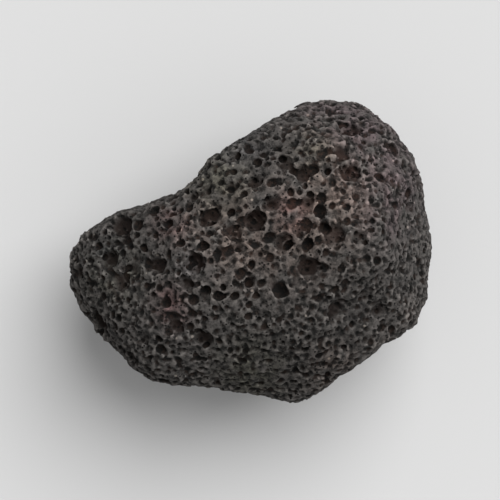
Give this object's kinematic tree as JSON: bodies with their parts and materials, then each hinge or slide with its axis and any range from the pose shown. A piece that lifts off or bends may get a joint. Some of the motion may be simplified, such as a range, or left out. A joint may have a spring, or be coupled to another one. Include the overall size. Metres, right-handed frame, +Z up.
{
  "type": "lava rock",
  "caption": "Fist-sized lump of dark vesicular lava rock with a broad crown, broken sloping sides and a flat broken face it rests on.",
  "frame": {"origin": "on the surface the stone rests on, under the middle of its bounding box", "axes": "+X along the stone's longest extent, towards its blunt end; +Y across it; +Z up, its shortest extent"},
  "size_m": [0.0682, 0.0568, 0.0429],
  "materials": {
    "lava_rock": "matt, rough and full of small gas bubbles"
  },
  "bodies": {
    "root": {"lava_rock": "lava_rock"}
  },
  "joints": []
}
